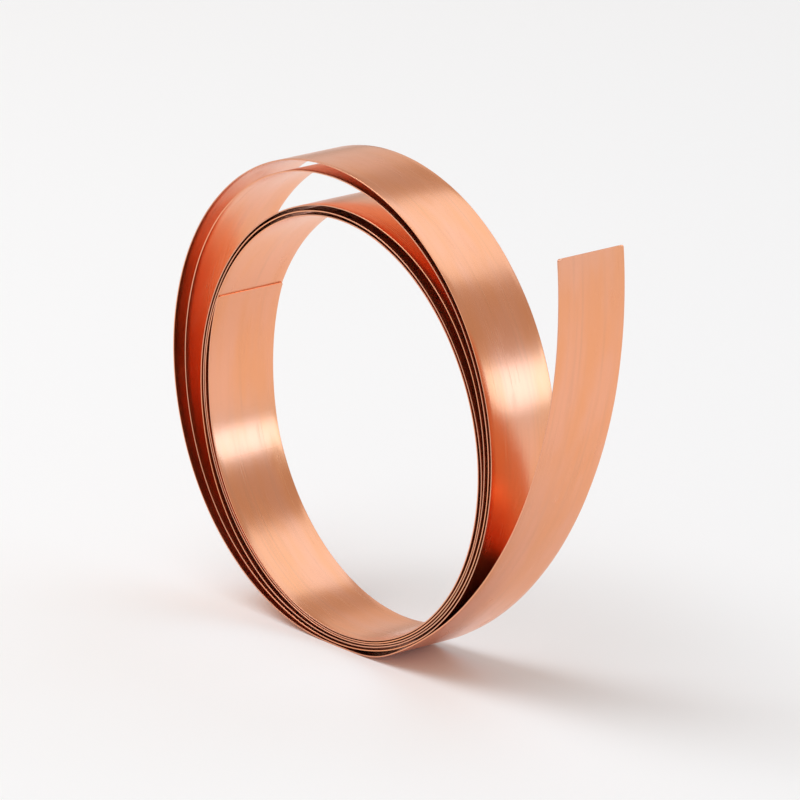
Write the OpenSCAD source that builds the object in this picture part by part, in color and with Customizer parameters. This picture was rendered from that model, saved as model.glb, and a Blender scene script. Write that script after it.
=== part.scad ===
// Loose roll of plain copper strip, standing on edge, with a sprung free end.
// X runs to the right, Y along the roll's axis, Z up. The origin is the centre
// of the round first turn. Lengths are in millimetres, angles in degrees.
// The strip is one length of metal. Its centre line is a chain of bends, each
// tangent to the next, that run outwards and anticlockwise seen from -Y.

/* [Strip] */
// Width of the strip, along the roll's axis
strip_width = 20; // [5:0.5:50]
// Thickness of the copper
strip_thickness = 0.3; // [0.05:0.05:0.35]

/* [Roll] */
// Where the inner end lies, measured anticlockwise from +X
inner_end_angle = 155; // [150:1:160]
// The round first turn: [sweep in degrees, centre-line radius], as in all the lists below
turn_1_bends = [[320, 51.5]];
// Bends of the second turn
turn_2_bends = [[40, 53.9], [45, 49.2], [45, 53.6], [45, 51.5], [45, 54.1],
                [45, 49.8], [45, 54.2], [45, 51.8], [45, 53.5]];
// Bends of the third turn
turn_3_bends = [[45, 52.2], [45, 52.1], [45, 53.6], [45, 54],
                [45, 56.3], [45, 48.9], [45, 55], [50, 56.9]];
// Bends of the fourth turn, which springs away from the tight ones over the top
turn_4_bends = [[45, 54.2], [45, 49.2], [45, 57.9], [45, 55.6],
                [45, 58.3], [45, 57.8], [45, 59.5], [40, 54.1]];
// Bends of the fifth turn
turn_5_bends = [[45, 61.2], [45, 56.1], [45, 60.2], [45, 57.5],
                [45, 58.8], [45, 60.5], [45, 61.9], [50, 59.7]];
// Bends of the last turn, which is pressed almost flat where the roll stands on it
turn_6_bends = [[40, 59.4], [45, 58.6], [23, 60.5], [4, 200], [23.5, 32]];

/* [Free end] */
// Bends of the free end
tail_bends = [[20, 101.1], [50, 114.5]];

/* [Inner end] */
// Sweep of each flexing length of the inner end
inner_link_sweep = 15; // [5:1:25]

/* [Flexing lines] */
// Gap between the rounded end of one length and the square end of the next
flex_gap = 0.1; // [0.05:0.01:0.2]

/* [Hidden] */

bends = concat(turn_1_bends, turn_2_bends, turn_3_bends, turn_4_bends,
               turn_5_bends, turn_6_bends, tail_bends);
// Index of the first bend of each turn, and of the free end
first_bends = [0, 1, 10, 18, 26, 34, 39];
last_bend = len(bends) - 1;
last_turn = 6;
inner_links = 3;
tail_links = 7;
// Sweep of each flat that makes up a length of several bends
flat_sweep = 2;
flex_end_facets = 24;
copper = [0.85, 0.52, 0.37];
$fn = 180;

function unit(angle) = [cos(angle), sin(angle)];
// Angle at which bend i begins, and the centre that it turns about
function start_of(i) =
    i == 0 ? inner_end_angle : start_of(i - 1) + bends[i - 1][0];
function centre_of(i) =
    i == 0 ? [0, 0]
           : centre_of(i - 1) + (bends[i - 1][1] - bends[i][1]) * unit(start_of(i));
// The bend that an angle falls in
function bend_at(angle, i = 0) =
    i == last_bend || angle < start_of(i + 1) ? i : bend_at(angle, i + 1);
function point_at(angle) =
    let (i = bend_at(angle)) centre_of(i) + bends[i][1] * unit(angle);
// Sweep of bend i between its square end and a flexing line
function cut_back(i) = (strip_thickness / 2 + flex_gap) / bends[i][1] * 180 / PI;
function turn_start(k) = start_of(first_bends[k - 1]);

tail_start = turn_start(last_turn + 1);
tail_end = start_of(last_bend) + bends[last_bend][0];
tail_link_sweep = (tail_end - tail_start) / tail_links;

// Flexing lines, numbered outwards from the roll
function inner_line(k) = inner_end_angle + (inner_links + 1 - k) * inner_link_sweep;
function tail_line(k) = tail_start + (k - 1) * tail_link_sweep;

// A length of one bend, truly round
module round_length(from, to) {
    i = bend_at(from);
    c = centre_of(i);
    translate([c[0], 0, c[1]])
        rotate([90, 0, 0])
        rotate([0, 0, from])
        rotate_extrude(angle = to - from)
        translate([bends[i][1] - strip_thickness / 2, -strip_width / 2])
        square([strip_thickness, strip_width]);
}

// Points along one face of the strip, a distance out from its centre line
function face_points(from, to, out) =
    let (flats = ceil((to - from) / flat_sweep), step = (to - from) / flats)
    [for (j = [0 : flats]) point_at(from + j * step) + out * unit(from + j * step)];

// A length of several bends
module bent_length(from, to) {
    outer = face_points(from, to, strip_thickness / 2);
    inner = face_points(from, to, -strip_thickness / 2);
    rotate([90, 0, 0])
        linear_extrude(strip_width, center = true)
        polygon([for (p = outer) p, for (j = [len(inner) - 1 : -1 : 0]) inner[j]]);
}

// The rounded end that a length turns on
module flex_end(angle) {
    p = point_at(angle);
    translate([p[0], 0, p[1]])
        rotate([90, 0, 0])
        rotate([0, 0, angle + 90])
        cylinder(d = strip_thickness, h = strip_width, center = true,
                 $fn = flex_end_facets);
}

// The first turn, from the inner end's first flexing line
module first_turn() {
    line = inner_line(1);
    color(copper)
        round_length(line + cut_back(bend_at(line)), turn_start(2));
}

// Any other turn. The last one stops short of the free end's first flexing line
module turn(k) {
    last = k == last_turn ? tail_start - cut_back(first_bends[k] - 1)
                          : turn_start(k + 1);
    color(copper)
        bent_length(turn_start(k), last);
}

// A length of the inner end. It turns on the line at its outer side
module inner_link(k) {
    line = inner_line(k);
    free = k == inner_links ? inner_end_angle
                            : inner_line(k + 1) + cut_back(bend_at(line));
    color(copper)
        union() {
            round_length(free, line);
            flex_end(line);
        }
}

// A length of the free end. It turns on the line nearer to the roll
module tail_link(k) {
    line = tail_line(k);
    next = tail_line(k + 1);
    free = k == tail_links ? tail_end : next - cut_back(bend_at(line));
    color(copper)
        union() {
            round_length(line, free);
            flex_end(line);
        }
}

module turn_1() first_turn();
module turn_2() turn(2);
module turn_3() turn(3);
module turn_4() turn(4);
module turn_5() turn(5);
module turn_6() turn(6);
module inner_end_1() inner_link(1);
module inner_end_2() inner_link(2);
module inner_end_3() inner_link(3);
module tail_1() tail_link(1);
module tail_2() tail_link(2);
module tail_3() tail_link(3);
module tail_4() tail_link(4);
module tail_5() tail_link(5);
module tail_6() tail_link(6);
module tail_7() tail_link(7);

turn_1();
turn_2();
turn_3();
turn_4();
turn_5();
turn_6();
inner_end_1();
inner_end_2();
inner_end_3();
tail_1();
tail_2();
tail_3();
tail_4();
tail_5();
tail_6();
tail_7();
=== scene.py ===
"""The looks of a loose, standing roll of bare copper strip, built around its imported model.

The strip is one length of metal. Its centre line lies in the XZ plane and is a chain of bends,
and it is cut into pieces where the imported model's bodies change. Everything is in metres.
"""

import math

import bpy
import numpy as np
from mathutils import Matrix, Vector


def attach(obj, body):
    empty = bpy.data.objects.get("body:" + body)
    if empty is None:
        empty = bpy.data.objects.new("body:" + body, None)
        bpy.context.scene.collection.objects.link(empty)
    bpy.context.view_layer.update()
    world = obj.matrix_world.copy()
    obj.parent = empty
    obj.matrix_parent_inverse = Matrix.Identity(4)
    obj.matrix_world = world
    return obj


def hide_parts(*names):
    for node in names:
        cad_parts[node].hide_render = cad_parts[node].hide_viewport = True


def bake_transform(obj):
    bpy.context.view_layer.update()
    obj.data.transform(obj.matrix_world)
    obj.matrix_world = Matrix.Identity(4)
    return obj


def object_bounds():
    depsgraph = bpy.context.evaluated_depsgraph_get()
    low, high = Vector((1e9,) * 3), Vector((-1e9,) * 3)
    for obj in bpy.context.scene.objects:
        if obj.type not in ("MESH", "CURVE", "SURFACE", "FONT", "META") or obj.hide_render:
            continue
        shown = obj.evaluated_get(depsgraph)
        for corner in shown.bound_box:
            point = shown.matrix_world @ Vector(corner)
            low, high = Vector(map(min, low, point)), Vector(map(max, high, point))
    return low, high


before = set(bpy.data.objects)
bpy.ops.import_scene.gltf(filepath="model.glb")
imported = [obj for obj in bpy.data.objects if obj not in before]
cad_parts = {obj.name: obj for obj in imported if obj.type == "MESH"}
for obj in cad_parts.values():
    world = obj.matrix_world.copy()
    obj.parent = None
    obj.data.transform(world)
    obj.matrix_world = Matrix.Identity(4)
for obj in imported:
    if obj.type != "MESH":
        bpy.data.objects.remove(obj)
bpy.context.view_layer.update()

MM = 0.001

# ---- The strip -----------------------------------------------------------------------------

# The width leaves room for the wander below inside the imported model's 20 mm
STRIP_WIDTH = 19.8 * MM
STRIP_THICKNESS = 0.3 * MM
# Rounding of the slit edges, and of the corners of the two cut ends
EDGE_RADIUS = 0.06 * MM
CORNER_RADIUS = 0.6 * MM

# The bends from the inner end outwards: sweep in degrees, centre-line radius in millimetres
INNER_END_ANGLE = 155.0
TURN_BENDS = [
    [(320, 51.5)],
    [
        (40, 53.9), (45, 49.2), (45, 53.6), (45, 51.5), (45, 54.1),
        (45, 49.8), (45, 54.2), (45, 51.8), (45, 53.5),
    ],
    [(45, 52.2), (45, 52.1), (45, 53.6), (45, 54), (45, 56.3), (45, 48.9), (45, 55), (50, 56.9)],
    [
        (45, 54.2), (45, 49.2), (45, 57.9), (45, 55.6),
        (45, 58.3), (45, 57.8), (45, 59.5), (40, 54.1),
    ],
    [
        (45, 61.2), (45, 56.1), (45, 60.2), (45, 57.5),
        (45, 58.8), (45, 60.5), (45, 61.9), (50, 59.7),
    ],
    [(40, 59.4), (45, 58.6), (23, 60.5), (4, 200), (23.5, 32)],
]
TAIL_BENDS = [(20, 101.1), (50, 114.5)]

# The flexing lengths at the two free ends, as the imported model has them
INNER_LINKS = 3
INNER_LINK_SWEEP = 15.0
TAIL_LINKS = 7
# How far the flexing of the first length at each end reaches back into the roll, in degrees
INNER_LEAD = 2.5
TAIL_LEAD = 5.0

# Spacing of the centre line's points, and the length over which one bend eases into the next
STEP = 0.45 * MM
EASE_LENGTH = 2.5 * MM
# Spaces between the points across each wide face and round each rounded corner
FACE_COLUMNS = 14
CORNER_COLUMNS = 3
# Rings of points that round the corners of a cut end
CUT_END_RINGS = 5

# Unevenness left by winding: (height, length along the strip, waves across it, phase)
RIPPLES = [
    (0.022 * MM, 61 * MM, 0.0, 0.4),
    (0.016 * MM, 37 * MM, 0.35, 2.1),
    (0.009 * MM, 17 * MM, 0.8, 4.0),
]
# How far the strip's edges fall inwards from the middle of its faces
CROWN = 0.02 * MM
# The turns wander sideways: (distance, length along the strip)
WANDER = (0.06 * MM, 143 * MM)
# The inner end sags inwards, and its tip lifts towards the turn behind it: (height, length)
SAG = (0.5 * MM, 44 * MM)
TIP_LIFT = (0.2 * MM, 5 * MM)


def bend_line(bends, start_angle):
    """Points along a chain of tangent circular bends about the Y axis.

    A bend of sweep a and radius r is r * a long. Where it meets the next one both have the
    outward normal u = (cos angle, sin angle), so the next centre is this one plus
    (r - next r) * u. Returns each point's distance along the strip, its angle and its place.
    """
    sweeps = np.radians([sweep for sweep, _ in bends])
    radii = np.array([radius for _, radius in bends]) * MM
    starts = math.radians(start_angle) + np.concatenate([[0], np.cumsum(sweeps)[:-1]])
    meet = np.stack([np.cos(starts), np.sin(starts)], 1)[1:]
    shifts = (radii[:-1] - radii[1:])[:, None] * meet
    centres = np.concatenate([np.zeros((1, 2)), np.cumsum(shifts, 0)])
    ends = np.cumsum(sweeps * radii)
    along = np.linspace(0, ends[-1], int(ends[-1] / STEP) + 1)
    bend = np.minimum(np.searchsorted(ends, along), len(radii) - 1)
    begun = np.concatenate([[0], ends[:-1]])
    angle = starts[bend] + (along - begun[bend]) / radii[bend]
    out = np.stack([np.cos(angle), np.sin(angle)], 1)
    return along, angle, centres[bend] + radii[bend][:, None] * out


def eased(points, spacing):
    """The same line with its changes of curvature spread out over EASE_LENGTH.

    Each point becomes a bell-weighted mean of its neighbours, and the mean of what that took
    away is put back, so that a circle keeps its radius. Past each end the line is continued
    by its own points turned half a turn about the end, which holds the end in place.
    """
    reach = int(4 * EASE_LENGTH / spacing)
    offsets = np.arange(-reach, reach + 1) * spacing
    weights = np.exp(-0.5 * (offsets / EASE_LENGTH) ** 2)
    weights /= weights.sum()

    def mean(line):
        before = 2 * line[0] - line[reach:0:-1]
        after = 2 * line[-1] - line[-2 : -reach - 2 : -1]
        padded = np.concatenate([before, line, after])
        return np.stack([np.convolve(padded[:, k], weights, "valid") for k in (0, 1)], 1)

    first = mean(points)
    return first + mean(points - first)


ALL_BENDS = [bend for turn in TURN_BENDS for bend in turn] + TAIL_BENDS
LINE_S, LINE_ANGLE, LINE_POINTS = bend_line(ALL_BENDS, INNER_END_ANGLE)
LINE_POINTS = eased(LINE_POINTS, LINE_S[1])
LINE_TANGENTS = np.gradient(LINE_POINTS, LINE_S, axis=0)
LINE_TANGENTS /= np.linalg.norm(LINE_TANGENTS, axis=1)[:, None]


def point_number(degrees):
    """Number of the centre line's point nearest to where the outward normal has this angle."""
    return int(np.abs(LINE_ANGLE - math.radians(degrees)).argmin())


def place_at(degrees):
    """That point, in the row frame."""
    x, z = LINE_POINTS[point_number(degrees)]
    return Vector((x, 0, z))


def cross_section():
    """The strip's cross-section as a loop of points (outward, across), a rounded rectangle.

    Corner k is a quarter circle from 90 k to 90 (k + 1) degrees about its own centre. The
    inner face's points come after the second corner, and the outer face's after the fourth.
    """
    half_t = STRIP_THICKNESS / 2 - EDGE_RADIUS
    half_w = STRIP_WIDTH / 2 - EDGE_RADIUS
    corners = []
    for k, (out, across) in enumerate([(1, 1), (-1, 1), (-1, -1), (1, -1)]):
        turn = np.radians(90 * k + np.linspace(0, 90, CORNER_COLUMNS + 1))
        corners.append(
            np.stack(
                [
                    out * half_t + EDGE_RADIUS * np.cos(turn),
                    across * half_w + EDGE_RADIUS * np.sin(turn),
                ],
                1,
            )
        )
    flat = np.linspace(half_w, -half_w, FACE_COLUMNS + 1)[1:-1]
    face = np.full_like(flat, STRIP_THICKNESS / 2)
    inner = np.stack([-face, flat], 1)
    outer = np.stack([face, -flat], 1)
    return np.concatenate([corners[0], corners[1], inner, corners[2], corners[3], outer])


def ripple(s, across):
    """Outward shift of the strip, for distances along it and places across it.

    With share the place across as a part of half the width, it is a sum of waves, each
    height * sin(2 pi s / length + waves * pi * share + phase), less crown * share^2.
    """
    share = across / (STRIP_WIDTH / 2)
    shift = -CROWN * share**2
    for height, length, waves, phase in RIPPLES:
        shift = shift + height * np.sin(2 * math.pi * s / length + waves * math.pi * share + phase)
    return shift


def inner_end_shift(s):
    """Outward shift of the inner end at a distance along the strip.

    It is height * exp(-(s / length)^2) of tip lift, less depth * sin(pi s / length)^2 of sag.
    """
    depth, sag_length = SAG
    height, tip_length = TIP_LIFT
    sag = depth * np.sin(math.pi * np.minimum(s / sag_length, 1)) ** 2
    return height * np.exp(-((s / tip_length) ** 2)) - sag


def cut_end_inset(distance):
    """How much narrower the strip is on each side, this far from a cut end: a quarter circle."""
    left = np.clip(CORNER_RADIUS - distance, 0, CORNER_RADIUS)
    return CORNER_RADIUS - np.sqrt(CORNER_RADIUS**2 - left**2)


def strip_mesh(name, first, last):
    """A closed length of strip between two of the centre line's points.

    Point (i, j) is line(s_i) + normal(s_i) * (out_j + ripple(s_i, across_j) +
    inner_end_shift(s_i)), with across_j along Y, narrowed near a cut end, and moved along Y by
    the wander, distance * sin(2 pi s / length). The UV map holds the distance along the whole
    strip and the distance round the cross-section, so a pattern runs on from piece to piece.
    """
    s = LINE_S[first : last + 1]
    rounding = CORNER_RADIUS * (1 - np.cos(np.linspace(0, math.pi / 2, CUT_END_RINGS + 1)[1:]))
    if first == 0:
        s = np.union1d(s, rounding)
    if last == len(LINE_S) - 1:
        s = np.union1d(s, LINE_S[-1] - rounding)
    line = np.stack([np.interp(s, LINE_S, LINE_POINTS[:, k]) for k in (0, 1)], 1)
    tangent = np.stack([np.interp(s, LINE_S, LINE_TANGENTS[:, k]) for k in (0, 1)], 1)
    normal = np.stack([tangent[:, 1], -tangent[:, 0]], 1)
    loop = cross_section()
    inset = cut_end_inset(np.minimum(s, LINE_S[-1] - s))
    narrowed = 1 - inset / (STRIP_WIDTH / 2)
    across = loop[None, :, 1] * narrowed[:, None]
    outward = loop[None, :, 0] + ripple(s[:, None], across) + inner_end_shift(s)[:, None]
    wander, wander_length = WANDER
    sideways = wander * np.sin(2 * math.pi * s / wander_length)
    points = np.empty((len(s), len(loop), 3))
    points[:, :, 0] = line[:, :1] + normal[:, :1] * outward
    points[:, :, 1] = across + sideways[:, None]
    points[:, :, 2] = line[:, 1:] + normal[:, 1:] * outward

    rings, columns = len(s), len(loop)
    i, j = np.meshgrid(np.arange(rings - 1), np.arange(columns), indexing="ij")
    after = (j + 1) % columns
    here, beyond = i * columns, (i + 1) * columns
    quads = np.stack([here + j, here + after, beyond + after, beyond + j], -1).reshape(-1, 4)
    caps = [np.arange(columns)[::-1], (rings - 1) * columns + np.arange(columns)]

    mesh = bpy.data.meshes.new(name)
    mesh.vertices.add(rings * columns)
    mesh.vertices.foreach_set("co", points.astype(np.float32).ravel())
    corners = np.concatenate([quads.ravel(), *caps])
    mesh.loops.add(len(corners))
    mesh.loops.foreach_set("vertex_index", corners.astype(np.int32))
    starts = np.concatenate([np.arange(len(quads)) * 4, len(quads) * 4 + np.arange(2) * columns])
    mesh.polygons.add(len(starts))
    mesh.polygons.foreach_set("loop_start", starts.astype(np.int32))
    smooth = np.ones(len(starts), bool)
    smooth[-2:] = False
    mesh.polygons.foreach_set("use_smooth", smooth)

    step = np.linalg.norm(np.roll(loop, -1, 0) - loop, axis=1)
    girth = np.concatenate([[0], np.cumsum(step)])
    quad_uv = np.stack(
        [
            np.stack([s[i], s[i], s[i + 1], s[i + 1]], -1),
            np.stack([girth[j], girth[j + 1], girth[j + 1], girth[j]], -1),
        ],
        -1,
    ).reshape(-1, 2)
    cap_uv = [
        np.stack([s[0] - loop[::-1, 0], loop[::-1, 1]], 1),
        np.stack([s[-1] + loop[:, 0], loop[:, 1]], 1),
    ]
    strip_uv = np.concatenate([quad_uv, *cap_uv]).astype(np.float32)
    mesh.uv_layers.new(name="strip").uv.foreach_set("vector", strip_uv.ravel())
    mesh.update(calc_edges=True)
    edges = np.empty(len(mesh.edges) * 2, np.int32)
    mesh.edges.foreach_get("vertices", edges)
    edges = edges.reshape(-1, 2)
    on_first_ring = (edges < columns).all(1)
    on_last_ring = (edges >= (rings - 1) * columns).all(1)
    sharp = mesh.attributes.new("sharp_edge", "BOOLEAN", "EDGE")
    sharp.data.foreach_set("value", on_first_ring | on_last_ring)
    piece = bpy.data.objects.new(name, mesh)
    bpy.context.scene.collection.objects.link(piece)
    return piece


# ---- Shader maths --------------------------------------------------------------------------


class Wire:
    """A socket of one material. Arithmetic on it adds Math nodes, and node adds any other."""

    def __init__(self, tree, socket):
        self.tree = tree
        self.socket = socket

    def node(self, kind, settings=None, inputs=None, output=0):
        """Adds a node, sets its settings, fills its sockets and returns one of its outputs."""
        made = self.tree.nodes.new(kind)
        for name, value in (settings or {}).items():
            setattr(made, name, value)
        for name, value in (inputs or {}).items():
            if isinstance(value, Wire):
                self.tree.links.new(value.socket, made.inputs[name])
            else:
                made.inputs[name].default_value = value
        return Wire(self.tree, made.outputs[output])

    def maths(self, operation, *values):
        return self.node("ShaderNodeMath", {"operation": operation}, dict(enumerate(values)))

    def __add__(self, other):
        return self.maths("ADD", self, other)

    __radd__ = __add__

    def __sub__(self, other):
        return self.maths("SUBTRACT", self, other)

    def __rsub__(self, other):
        return self.maths("SUBTRACT", other, self)

    def __mul__(self, other):
        return self.maths("MULTIPLY", self, other)

    __rmul__ = __mul__

    def __truediv__(self, other):
        return self.maths("DIVIDE", self, other)

    def __rtruediv__(self, other):
        return self.maths("DIVIDE", other, self)

    def __abs__(self):
        return self.maths("ABSOLUTE", self)


def ramp(value, low, high, to_low=0.0, to_high=1.0):
    """Eases from to_low to to_high as the value goes from low to high."""
    return value.node(
        "ShaderNodeMapRange",
        {"interpolation_type": "SMOOTHSTEP"},
        {"Value": value, "From Min": low, "From Max": high, "To Min": to_low, "To Max": to_high},
    )


# Numbers of a Mix node's sockets for its factor and two colours, and of its colour output
MIX_SHARE, MIX_FIRST, MIX_SECOND = 0, 6, 7
MIX_COLOUR = 2


def colour_mix(share, first, second):
    """First colour where share is 0, second where it is 1."""
    colours = {MIX_SHARE: share, MIX_FIRST: first, MIX_SECOND: second}
    return share.node("ShaderNodeMix", {"data_type": "RGBA"}, colours, MIX_COLOUR)


# ---- Copper --------------------------------------------------------------------------------

COPPER = (0.94, 0.43, 0.26, 1)
COPPER_WARM = (0.94, 0.40, 0.20, 1)
COPPER_DULL = (0.70, 0.35, 0.22, 1)
COPPER_CUT = (0.80, 0.39, 0.25, 1)

# The marks of rolling and handling: (length along the strip, width across it, seed, detail)
FINE_GRAIN = (9 * MM, 0.16 * MM, 3.1, 2.0)
STREAKS = (42 * MM, 0.75 * MM, 7.7, 3.0)
CLOUDS = (34 * MM, 9 * MM, 12.3, 3.0)
SMUDGES = (13 * MM, 6 * MM, 21.9, 4.0)
SCRATCH_LINES = (21 * MM, 0.11 * MM, 31.4, 1.0)
SCRATCH_PATCHES = (16 * MM, 5 * MM, 44.2, 1.0)
SHEAR_MARKS = (0.12 * MM, 0.5 * MM, 52.8, 2.0)
GRAIN_ROUGHNESS = 0.55

# The slit edge's look begins and is full at these distances from the middle of the width
EDGE_BEGINS = STRIP_WIDTH / 2 - 0.05 * MM
EDGE_FULL = STRIP_WIDTH / 2 + 0.02 * MM
# Roughness of clean metal, and height of the bumps where the marks' sum changes by one
SATIN = 0.20
BUMP_HEIGHT = 0.004 * MM


def rolled_copper():
    """Bare rolled copper: satin along its length, faintly streaked, with bright slit edges."""
    material = bpy.data.materials.new("rolled_copper")
    material.use_nodes = True
    tree = material.node_tree
    tree.nodes.clear()
    shader = tree.nodes.new("ShaderNodeBsdfPrincipled")
    result = tree.nodes.new("ShaderNodeOutputMaterial")
    tree.links.new(shader.outputs["BSDF"], result.inputs["Surface"])
    shader.inputs["Metallic"].default_value = 1.0

    start = Wire(tree, None)
    strip = start.node("ShaderNodeUVMap", {"uv_map": "strip"})
    along = start.node("ShaderNodeSeparateXYZ", inputs={"Vector": strip}, output="X")
    around = start.node("ShaderNodeSeparateXYZ", inputs={"Vector": strip}, output="Y")
    place = start.node("ShaderNodeTexCoord", output="Object")
    across = start.node("ShaderNodeSeparateXYZ", inputs={"Vector": place}, output="Y")

    def marks(length, width, seed, detail):
        """Noise whose spots are this long along the strip and this wide across it."""
        spot = start.node(
            "ShaderNodeCombineXYZ", inputs={"X": along / length, "Y": around / width, "Z": seed}
        )
        return start.node(
            "ShaderNodeTexNoise",
            inputs={"Vector": spot, "Scale": 1.0, "Detail": detail, "Roughness": GRAIN_ROUGHNESS},
        )

    fine = marks(*FINE_GRAIN)
    streaks = marks(*STREAKS)
    clouds = marks(*CLOUDS)
    smudges = marks(*SMUDGES)
    shear = marks(*SHEAR_MARKS)
    scratches = ramp(marks(*SCRATCH_LINES), 0.66, 0.74) * ramp(marks(*SCRATCH_PATCHES), 0.50, 0.64)
    edge = ramp(abs(across), EDGE_BEGINS, EDGE_FULL)

    tint = colour_mix(ramp(clouds, 0.36, 0.66), COPPER, COPPER_WARM)
    tint = colour_mix(ramp(streaks, 0.48, 0.80, 0.0, 0.30), tint, COPPER_DULL)
    tint = colour_mix(scratches * 0.35, tint, COPPER_DULL)
    tint = colour_mix(edge * 0.85, tint, COPPER_CUT)
    roughness = SATIN + streaks * 0.05 + ramp(smudges, 0.52, 0.72, 0.0, 0.05)
    roughness = roughness + scratches * 0.12 + edge * 0.16
    height = fine * 0.5 + streaks * 1.2 + smudges * 1.5 - scratches * 1.0 + edge * shear * 3.0
    bump = start.node(
        "ShaderNodeBump", inputs={"Strength": 1.0, "Distance": BUMP_HEIGHT, "Height": height}
    )
    tree.links.new(tint.socket, shader.inputs["Base Color"])
    tree.links.new(roughness.socket, shader.inputs["Roughness"])
    tree.links.new(bump.socket, shader.inputs["Normal"])
    return material


# ---- The pieces ----------------------------------------------------------------------------


def dressed(piece, *nodes):
    """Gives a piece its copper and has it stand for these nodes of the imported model."""
    piece.data.materials.append(copper)
    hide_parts(*nodes)
    return piece


def length_of_strip(name, from_angle, to_angle):
    """The strip between two angles of its outward normal, in degrees."""
    return strip_mesh(name, point_number(from_angle), point_number(to_angle))


def flexing_length(name, from_angle, to_angle, flex_from, flex_to):
    """A length that crosses one flexing line, given its copper in place of its node of the
    imported model.
    """
    piece = dressed(length_of_strip(name, from_angle, to_angle), name.replace("strip_", ""))
    place_at(flex_from)
    place_at(flex_to)
    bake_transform(piece)
    return piece


copper = rolled_copper()
turn_starts = INNER_END_ANGLE + np.cumsum([0] + [sum(b[0] for b in t) for t in TURN_BENDS])
tail_start = turn_starts[-1]
tail_end = tail_start + sum(bend[0] for bend in TAIL_BENDS)
tail_link_sweep = (tail_end - tail_start) / TAIL_LINKS
inner_lines = [INNER_END_ANGLE + (INNER_LINKS - k) * INNER_LINK_SWEEP for k in range(INNER_LINKS)]
tail_lines = [tail_start + k * tail_link_sweep for k in range(TAIL_LINKS)]

for k in range(len(TURN_BENDS)):
    begin = inner_lines[0] + INNER_LEAD if k == 0 else turn_starts[k]
    end = tail_start - TAIL_LEAD if k == len(TURN_BENDS) - 1 else turn_starts[k + 1]
    turn = dressed(length_of_strip(f"strip_turn_{k + 1}", begin, end), f"turn_{k + 1}")
    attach(turn, "roll")

# Each flexing length runs from the middle of one of the model's lengths to the middle of the next
for k, line in enumerate(inner_lines):
    outer_body = "roll" if k == 0 else f"inner_end_{k}"
    begin = line + (INNER_LEAD if k == 0 else INNER_LINK_SWEEP / 2)
    flexed = line - INNER_LINK_SWEEP / 2
    end = INNER_END_ANGLE if k == INNER_LINKS - 1 else flexed
    bodies = (outer_body, f"inner_end_{k + 1}")
    flexing_length(f"strip_inner_end_{k + 1}", end, begin, begin, flexed)

for k, line in enumerate(tail_lines):
    inner_body = "roll" if k == 0 else f"tail_{k}"
    begin = line - (TAIL_LEAD if k == 0 else tail_link_sweep / 2)
    flexed = line + tail_link_sweep / 2
    end = tail_end if k == TAIL_LINKS - 1 else flexed
    bodies = (inner_body, f"tail_{k + 1}")
    flexing_length(f"strip_tail_{k + 1}", begin, end, begin, flexed)


# ---- The studio ----------------------------------------------------------------------------

FLOOR_SIZE = 12.0
FLOOR_PAINT = (0.94, 0.945, 0.95, 1)
FLOOR_ROUGHNESS = 0.9
ROOM_COLOUR = (0.53, 0.46, 0.40, 1)

# Each soft light: name, direction, distance, width, height, brightness and tint
SOFTBOXES = [
    ("back_light", (0.0, 0.6, 0.8), 1.6, 1.15, 0.9, 1.06, (0.55, 0.79, 1.0)),
    ("right_light", (0.774, 0.601, 0.185), 1.6, 0.9, 0.46, 2.5, (0.43, 0.71, 1.0)),
    ("left_light", (-0.72, 0.6, 0.33), 1.6, 1.1, 0.7, 0.27, (0.85, 0.95, 1.0)),
    ("overhead_light", (-0.1, -0.35, 1), 1.8, 2.0, 1.2, 1.9, (0.84, 0.92, 1.0)),
    ("key_light", (-0.6, -0.5, 1.0), 1.8, 1.0, 1.0, 2.2, (0.94, 0.97, 1.0)),
]

# The camera's direction from the roll in degrees, its distance, its lens in millimetres, and
# how far the point it looks at lies right of and above the origin, as it sees them
CAMERA_AZIMUTH = 51.0
CAMERA_ELEVATION = 17.2
CAMERA_DISTANCE = 2.0
CAMERA_LENS = 377.5
AIM_RIGHT = 6.6 * MM
AIM_UP = 4.9 * MM


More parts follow.
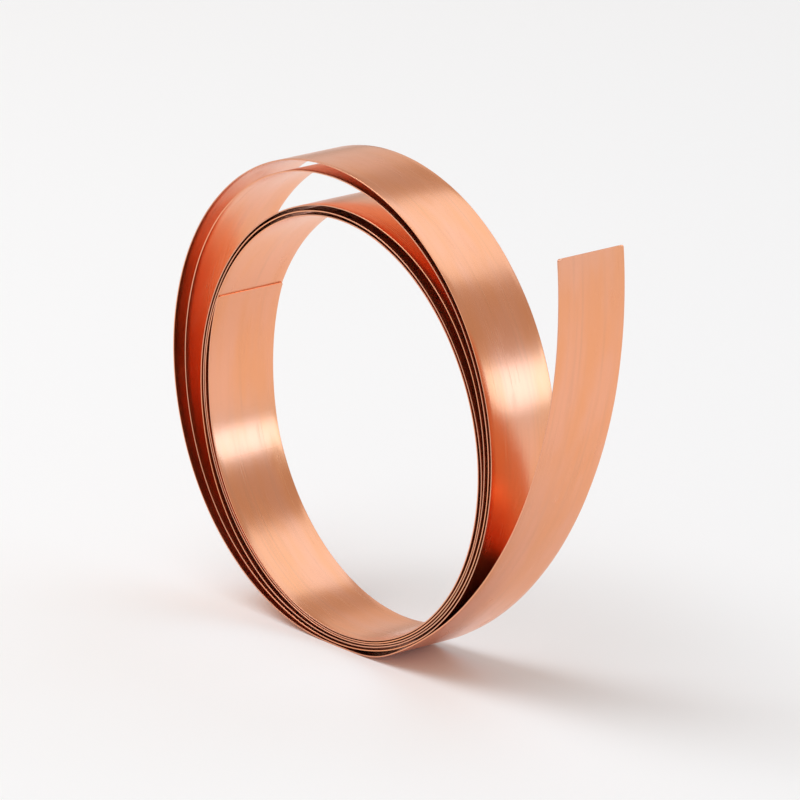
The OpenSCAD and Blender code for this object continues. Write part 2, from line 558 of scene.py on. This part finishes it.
def plain_floor():
    """A wide, pale, matt floor at the height of the roll's lowest point."""
    half = FLOOR_SIZE / 2
    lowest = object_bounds()[0].z
    corners = [(-half, -half), (half, -half), (half, half), (-half, half)]
    mesh = bpy.data.meshes.new("floor")
    mesh.from_pydata([(x, y, lowest) for x, y in corners], [], [(0, 1, 2, 3)])
    floor = bpy.data.objects.new("floor", mesh)
    bpy.context.scene.collection.objects.link(floor)
    paint = bpy.data.materials.new("pale_floor")
    paint.use_nodes = True
    shader = paint.node_tree.nodes["Principled BSDF"]
    shader.inputs["Base Color"].default_value = FLOOR_PAINT
    shader.inputs["Roughness"].default_value = FLOOR_ROUGHNESS
    mesh.materials.append(paint)


def softbox(name, direction, distance, width, height, brightness, tint):
    """A soft light that faces the roll. Brightness is what a mirror would show of it."""
    lamp = bpy.data.lights.new(name, "AREA")
    lamp.shape = "RECTANGLE"
    lamp.size = width
    lamp.size_y = height
    lamp.energy = brightness * math.pi * width * height
    lamp.color = tint
    light = bpy.data.objects.new(name, lamp)
    bpy.context.scene.collection.objects.link(light)
    towards = Vector(direction).normalized()
    light.location = towards * distance
    light.rotation_euler = towards.to_track_quat("Z", "Y").to_euler()
    light.visible_camera = False


def room():
    """An even room of a warm pale grey."""
    world = bpy.data.worlds.new("room")
    world.use_nodes = True
    world.node_tree.nodes["Background"].inputs["Color"].default_value = ROOM_COLOUR
    bpy.context.scene.world = world


def camera():
    """A long lens, from the front right and a little above."""
    azimuth, elevation = math.radians(CAMERA_AZIMUTH), math.radians(CAMERA_ELEVATION)
    flat = math.cos(elevation)
    back = Vector((math.sin(azimuth) * flat, -math.cos(azimuth) * flat, math.sin(elevation)))
    right = Vector((math.cos(azimuth), math.sin(azimuth), 0))
    up = back.cross(right)
    lens = bpy.data.cameras.new("camera")
    lens.lens = CAMERA_LENS
    eye = bpy.data.objects.new("camera", lens)
    bpy.context.scene.collection.objects.link(eye)
    eye.location = back * CAMERA_DISTANCE + right * AIM_RIGHT + up * AIM_UP
    eye.rotation_euler = back.to_track_quat("Z", "Y").to_euler()
    bpy.context.scene.camera = eye


plain_floor()
room()
for box in SOFTBOXES:
    softbox(*box)
camera()
bpy.context.scene.view_settings.view_transform = "Standard"
